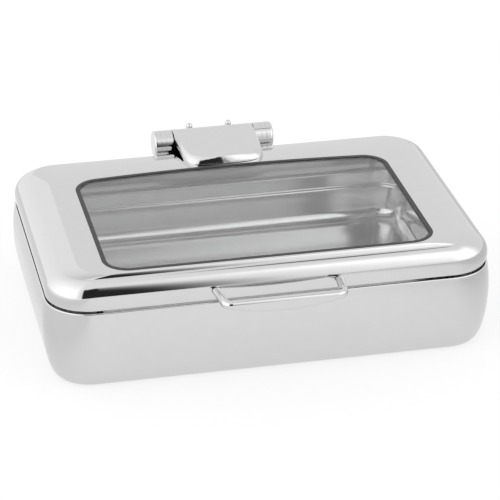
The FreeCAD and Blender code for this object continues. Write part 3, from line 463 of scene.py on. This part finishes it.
# %% The lid's levels
EDGE_INSET, BULGE_INSET, WALL_RISE = 5.0, 4.3, 8.3
SHOULDER_RUN, SHOULDER_RISE, SHOULDER_POWER = 58.3, 33.0, 2.37
SHOULDER_END_DEG, FRONT_SHARE = 53.7, 0.681
EDGE_CORNER, BULGE_CORNER, CORNER_SHARE = 55.5, 51.5, 0.7
LID_GAP = 3.0
LID_EDGE = BODY_RIM + LID_GAP
LID_BULGE = LID_EDGE + WALL_RISE
LID_TOP = LID_BULGE + SHOULDER_RISE
WINDOW = level(209.3, -171.3, 109.5, 33.2, LID_TOP, bow=11.0)
PANEL_MARGIN = 1.2
EDGE_LEVELS, SHOULDER_LEVELS, PANEL_LEVELS = 10, 30, 12
CREASE_ROUND = 1.6


def lid_level(inset, front, corner, z):
    """A level of the lid: how far it stands inside the body's widest line at the sides and at the front."""
    return level(BODY[0] - inset, BODY[1] + front, BODY[2] - inset, corner, z)


def lid_levels(offset, low):
    """The lid's outer form from its edge to the window, or its inside where offset is the sheet."""
    levels = []
    for step in range(EDGE_LEVELS):
        share = step / EDGE_LEVELS
        inset = offset + BULGE_INSET + (EDGE_INSET - BULGE_INSET) * (1 - share) ** 2
        corner = EDGE_CORNER + (BULGE_CORNER - EDGE_CORNER) * share - offset
        levels.append(lid_level(inset, inset, corner, max(LID_EDGE + WALL_RISE * share, low)))
    for step in range(SHOULDER_LEVELS + 1):
        angle = math.radians(SHOULDER_END_DEG * step / SHOULDER_LEVELS)
        run = SHOULDER_RUN * (1 - math.cos(angle) ** (2 / SHOULDER_POWER))
        z = LID_BULGE + SHOULDER_RISE * math.sin(angle) ** (2 / SHOULDER_POWER)
        sink = offset * math.sin(angle) / math.sin(math.radians(SHOULDER_END_DEG))
        levels.append(lid_level(offset + BULGE_INSET + run, offset + BULGE_INSET + run * FRONT_SHARE,
                                BULGE_CORNER - run * CORNER_SHARE - offset, z - sink))
    crease = levels[-1]
    top = grown(WINDOW, PANEL_MARGIN - offset, LID_TOP - offset)
    for step in range(1, PANEL_LEVELS + 1):
        share = step / PANEL_LEVELS
        z = crease[5] + (top[5] - crease[5]) * (1 - (1 - share) ** 2)
        levels.append(mixed(crease, top, share)[:5] + (z,))
    return rounded(levels, EDGE_LEVELS + SHOULDER_LEVELS, CREASE_ROUND, steps=7)


outer = lid_levels(0.0, LID_EDGE)
print("levels up the lid:", len(outer))

# %% The lid's skin
LID_FLANGE, RIM_ROUND = 6.0, 0.5
inner = lid_levels(SHEET, LID_EDGE + SHEET)
hole = [grown(WINDOW, 0.0, LID_TOP), grown(WINDOW, 0.0, LID_TOP - SHEET)]
mouth_in, mouth_corner = EDGE_INSET + LID_FLANGE, EDGE_CORNER - LID_FLANGE
flange = [lid_level(mouth_in, mouth_in, mouth_corner, LID_EDGE + SHEET),
          lid_level(mouth_in, mouth_in, mouth_corner, LID_EDGE)]
lid_loop = outer + hole + list(reversed(inner)) + flange
lid_loop = rounded(lid_loop, len(outer), RIM_ROUND, steps=3)
lid_skin = skin("lid_shell_skin", lid_loop, mirror_steel, "lid", "lid_shell",
                closed=True)

# %% [markdown]
# ## Painted shade under the lid's edge
# The photograph shows a dark line in the seam between the lid and the body, and not what makes it. Here the
# flat flange under the lid's edge gets black silicone as painted shade: the rim mirrors it, and that darkens
# the seam as the shade in the gap does. A real coat there, which would also keep steel from ringing on steel
# as the lid closes, is a guess. It could be a thin piece of its own, but a second material on the flange's
# faces leaves the lid's shape as it is.

# %% The flange's painted shade
DOWNWARD, SHADE_REACH = -0.7, 0.5
# The black silicone on the flange's downward faces is painted shade, to darken the seam.
lid_skin.data.materials.append(black_silicone)
shade_painted = [face for face in lid_skin.data.polygons
          if face.normal.z < DOWNWARD and face.center.z < (LID_EDGE + SHADE_REACH) * MM]
for face in shade_painted:
    face.material_index = 1
print("coated faces:", len(shade_painted), "of", len(lid_skin.data.polygons))

# %% [markdown]
# ## The hinge leaf's lip
# The leaf's front has full, soft corners, and its lip leans back in an arc from the lid up to the flat top.
# It could be built anew, but its skin is a copy of the solid leaf's mesh, so that everything else on it
# stays as it is. Each point of the lip slides along the line from the leaf's middle until it meets an
# outline at its own height, between the foot's outline and the flat top's. Points farther than LEAF_SLIDE
# from that outline don't move, and no point changes its height.

# %% The leaf's outlines
LEAF_MIDDLE_Y = 170.0
LEAF_LOW, LEAF_TOP, LEAF_LIP_R = 149.3, 160.1, 13.5
LIP_HEIGHT = LEAF_TOP - LEAF_LOW
LEAF_FOOT = ((0.0, 110.6), (14.0, 110.8), (28.0, 111.6), (38.5, 113.5), (46.0, 117.3), (50.8, 124.0),
             (53.8, 134.0), (55.2, 150.0), (55.3, 171.0), (55.3, 196.0))
LEAF_FLAT = ((0.0, 114.4), (13.0, 114.9), (25.0, 116.6), (34.0, 119.5), (41.0, 123.6), (46.0, 129.5),
             (49.2, 139.0), (51.2, 155.0), (53.4, 175.0), (55.3, 196.0))


def between(a, b, c, d, t):
    """The Catmull-Rom curve from b to c, with a before and d after, at t from 0 to 1."""
    square, cube = 2 * a - 5 * b + 4 * c - d, 3 * b - a - 3 * c + d
    return 0.5 * (2 * b + (c - a) * t + square * t ** 2 + cube * t ** 3)


def polar(points, steps=12):
    """A curve through the points of the right half, as angles and distances round the leaf's middle."""
    first = (-points[1][0], points[1][1])
    last = tuple(2 * a - b for a, b in zip(points[-1], points[-2]))
    knots = [first] + list(points) + [last]
    curve = []
    for k in range(1, len(knots) - 2):
        for step in range(steps):
            curve.append(tuple(between(*four, step / steps) for four in zip(*knots[k - 1:k + 3])))
    curve.append(points[-1])
    return ([math.atan2(x, LEAF_MIDDLE_Y - y) for x, y in curve],
            [math.hypot(x, LEAF_MIDDLE_Y - y) for x, y in curve])


def lean_back(rise):
    """How far the lip's arc stands back at a height above the lid."""
    return LEAF_LIP_R - math.sqrt(LEAF_LIP_R ** 2 - rise ** 2)


foot, flat = polar(LEAF_FOOT), polar(LEAF_FLAT)
print("the lip leans back by", round(lean_back(LIP_HEIGHT), 2), "mm in its arc")

# %% The leaf's skin
LEAF_SIDE_END_Y, LEAF_SLIDE, LEAF_BELOW, LEAF_SHARP_DEG = 192.0, 5.0, 1.0, 30
leaf_mesh = nodes["hinge_leaf"].data.copy()
leaf_mesh.transform(nodes["hinge_leaf"].matrix_world)
moved = 0
for vertex in leaf_mesh.vertices:
    x, y, z = (value / MM for value in vertex.co)
    angle, away = math.atan2(abs(x), LEAF_MIDDLE_Y - y), math.hypot(x, LEAF_MIDDLE_Y - y)
    share = lean_back(min(max(z - LEAF_LOW, 0.0), LIP_HEIGHT)) / lean_back(LIP_HEIGHT)
    reach = (1 - share) * np.interp(angle, *foot) + share * np.interp(angle, *flat)
    if y < LEAF_SIDE_END_Y and z > LEAF_LOW - LEAF_BELOW and abs(reach - away) < LEAF_SLIDE:
        vertex.co.x = math.copysign(math.sin(angle), x) * reach * MM
        vertex.co.y = (LEAF_MIDDLE_Y - math.cos(angle) * reach) * MM
        moved += 1
leaf_mesh.shade_smooth()
leaf_mesh.set_sharp_from_angle(angle=math.radians(LEAF_SHARP_DEG))
leaf_skin = bpy.data.objects.new("hinge_leaf_skin", leaf_mesh)
bpy.context.scene.collection.objects.link(leaf_skin)
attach(leaf_skin, "lid")
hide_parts("hinge_leaf")
print("lip points moved:", moved, "of", len(leaf_mesh.vertices))

# %% [markdown]
# ## The window's gasket
# A moulded ring holds the pane in the lid. Its lip stands 0.3 mm above the steel, covers the pane's edge
# and has small rounded edges, where the light draws a thin line. A curve with a bevel object could draw it
# too, but levels keep the window's bowed back edge. The skin is closed to a ring here, through eight
# corners.

# %% The gasket's skin
GASKET_PROUD, GASKET_DEPTH, GASKET_WIDTH = 0.3, 5.8, 5.5
GLASS_EDGE, GLASS_SINK, GLASS_THICK = 2.5, 0.5, 4.0
LIP_OUTER_ROUND, LIP_INNER_ROUND = 0.3, 0.35
SKIN_GAP = 0.03


def gasket_level(inset, above_top):
    return grown(WINDOW, -inset, LID_TOP + above_top)


gasket_loop = [gasket_level(SKIN_GAP, -GASKET_DEPTH), gasket_level(SKIN_GAP, GASKET_PROUD),
               gasket_level(GASKET_WIDTH, GASKET_PROUD), gasket_level(GASKET_WIDTH, SKIN_GAP - GLASS_SINK),
               gasket_level(GLASS_EDGE - SKIN_GAP, SKIN_GAP - GLASS_SINK),
               gasket_level(GLASS_EDGE - SKIN_GAP, -SKIN_GAP - GLASS_SINK - GLASS_THICK),
               gasket_level(GASKET_WIDTH, -SKIN_GAP - GLASS_SINK - GLASS_THICK),
               gasket_level(GASKET_WIDTH, -GASKET_DEPTH)]
gasket_loop = rounded(rounded(gasket_loop, 2, LIP_INNER_ROUND), 1, LIP_OUTER_ROUND)
skin("window_gasket_skin", gasket_loop, grey_silicone, "lid", "window_gasket",
     closed=True)

# %% [markdown]
# ## The studio
# The dish was shot on a white sweep under soft light. Polished steel shows what stands round it, so the
# studio matters more here than its lamps. The white walls grow a little dimmer from the left to the right.
# Two large soft boxes stand in front, left and right. Between them is the dark place where the camera is,
# and it gives the black band along the lid's front shoulder. A thin dark strip stands overhead, the horizon
# on the right is dimmer, and so is the light high behind on the left. Area lamps and dark cards could do
# all this, but reflections tell directions and no distances, so it is drawn in the world by direction:
# azimuth 0 is in front of the dish and grows to the right, elevation 0 is level. For the camera itself the
# background is plain white.

# %% The world's directions
world = bpy.data.worlds.new("studio")
bpy.context.scene.world = world
world.use_nodes = True
sky = world.node_tree
sky.nodes.clear()


def math_node(tree, operation, a, b=0.0):
    return add(tree, "ShaderNodeMath", {"operation": operation}, i0=a, i1=b).outputs[0]


def ramp(tree, value, start, end, low=0.0, high=1.0):
    """Goes smoothly from low to high while the value goes from start to end."""
    node = add(tree, "ShaderNodeMapRange", {"interpolation_type": "SMOOTHSTEP"}, Value=value,
               From_Min=start, From_Max=end, To_Min=low, To_Max=high)
    return node.outputs["Result"]


toward = add(sky, "ShaderNodeSeparateXYZ", Vector=add(sky, "ShaderNodeTexCoord").outputs["Generated"])
front = math_node(sky, "MULTIPLY", toward.outputs["Y"], -1.0)
azimuth = math_node(sky, "DEGREES", math_node(sky, "ARCTAN2", toward.outputs["X"], front))
elevation = math_node(sky, "DEGREES", math_node(sky, "ARCSINE", toward.outputs["Z"]))
print("nodes for the directions:", len(sky.nodes))

# %% The world's light
# A window is four pairs of degrees, for its left, right, lower and upper side. It fades between the two
# degrees of a pair. The walls are two azimuths and the light at each.
WALLS = (-60.0, 120.0, 1.04, 0.92)
SOFT_BOX_LEFT = ((-176, -70), (-46, -25), (-30, -29), (24, 88))
SOFT_BOX_RIGHT = ((11, 22), (66, 104), (0, 14), (44, 64))
HORIZON_RIGHT = ((16, 30), (110, 140), (-30, -29), (1, 5))
HIGH_BEHIND = ((-181, -180), (-172, -112), (24, 74), (100, 101))
DARK_PLACE = ((-24, -20), (8.5, 13), (-10, -9), (43, 50))
DARK_STRIP = ((42, 56), (66, 74), (71, 73), (77, 79))
GAINS = ((SOFT_BOX_LEFT, 0.52), (SOFT_BOX_RIGHT, 0.62), (HORIZON_RIGHT, -0.32), (HIGH_BEHIND, -0.3))
LOSSES = ((DARK_PLACE, 0.975), (DARK_STRIP, 0.75))
WHITE = (1.0, 1.0, 1.0, 1.0)


def patch(left, right, low, high):
    """1 in a window of directions and 0 outside it."""
    sides = [ramp(sky, azimuth, *left), ramp(sky, azimuth, *right, 1.0, 0.0),
             ramp(sky, elevation, *low), ramp(sky, elevation, *high, 1.0, 0.0)]
    value = sides[0]
    for side in sides[1:]:
        value = math_node(sky, "MULTIPLY", value, side)
    return value


light = ramp(sky, azimuth, *WALLS)
for window, gain in GAINS:
    light = math_node(sky, "ADD", light, math_node(sky, "MULTIPLY", patch(*window), gain))
for window, depth in LOSSES:
    lost = math_node(sky, "MULTIPLY", patch(*window), depth)
    light = math_node(sky, "MULTIPLY", light, math_node(sky, "SUBTRACT", 1.0, lost))
ray = add(sky, "ShaderNodeLightPath")
plain = math_node(sky, "MULTIPLY", math_node(sky, "SUBTRACT", 1.0, light), ray.outputs["Is Camera Ray"])
studio = add(sky, "ShaderNodeBackground", Color=WHITE, Strength=math_node(sky, "ADD", light, plain))
end = sky.nodes.new("ShaderNodeOutputWorld")
sky.links.new(studio.outputs[0], end.inputs["Surface"])
bpy.context.scene.view_settings.view_transform = "Standard"
print("world nodes:", len(sky.nodes), "view", bpy.context.scene.view_settings.view_transform)

# %% [markdown]
# ## The floor
# The white sweep keeps the dish's shadow: part of its white is lit paper, and the rest is a glow that only
# the camera, mirrors and glass see. White paper alone would need more light, and that would fall on the
# dish as well. In mirrors the glow grows dimmer to the right of the dish and close to its left side, and
# brighter again far out on the left, near the soft box.

# %% The floor
# A fade is the two places on X in metres between which it runs, and its two levels.
PAPER = (0.28, 0.28, 0.28, 1.0)
DIRECT_GLOW = 0.72
GLOW_RIGHT = (0.15, 0.7, 0.68, 0.4)
GLOW_FAR_LEFT = (-0.6, -1.3, 0.0, 0.26)
DIM_NEAR_LEFT = (-0.2, -0.4, 0.0, 0.14)
REACH = 30
floor_paint, tree, out = new_material("studio_paper_floor")
ray = add(tree, "ShaderNodeLightPath")
place = add(tree, "ShaderNodeSeparateXYZ", Vector=add(tree, "ShaderNodeTexCoord").outputs["Object"])
left_of_dish = math_node(tree, "SUBTRACT", ramp(tree, place.outputs["X"], *GLOW_FAR_LEFT),
                         ramp(tree, place.outputs["X"], *DIM_NEAR_LEFT))
mirrored_glow = math_node(tree, "ADD", ramp(tree, place.outputs["X"], *GLOW_RIGHT), left_of_dish)
direct = math_node(tree, "MAXIMUM", ray.outputs["Is Camera Ray"], ray.outputs["Is Transmission Ray"])
glow = math_node(tree, "ADD", math_node(tree, "MULTIPLY", direct, DIRECT_GLOW),
                 math_node(tree, "MULTIPLY", ray.outputs["Is Glossy Ray"], mirrored_glow))
paper = add(tree, "ShaderNodeBsdfDiffuse", Color=PAPER)
glowing = add(tree, "ShaderNodeEmission", Color=WHITE, Strength=glow)
both = add(tree, "ShaderNodeAddShader", i0=paper.outputs[0], i1=glowing.outputs[0])
tree.links.new(both.outputs[0], out.inputs["Surface"])
floor_mesh = bpy.data.meshes.new("floor")
corners = [(-REACH, -REACH, 0), (REACH, -REACH, 0), (REACH, REACH, 0), (-REACH, REACH, 0)]
floor_mesh.from_pydata(corners, [], [(0, 1, 2, 3)])
floor_mesh.materials.append(floor_paint)
floor = bpy.data.objects.new("floor", floor_mesh)
bpy.context.scene.collection.objects.link(floor)
print("floor laid")
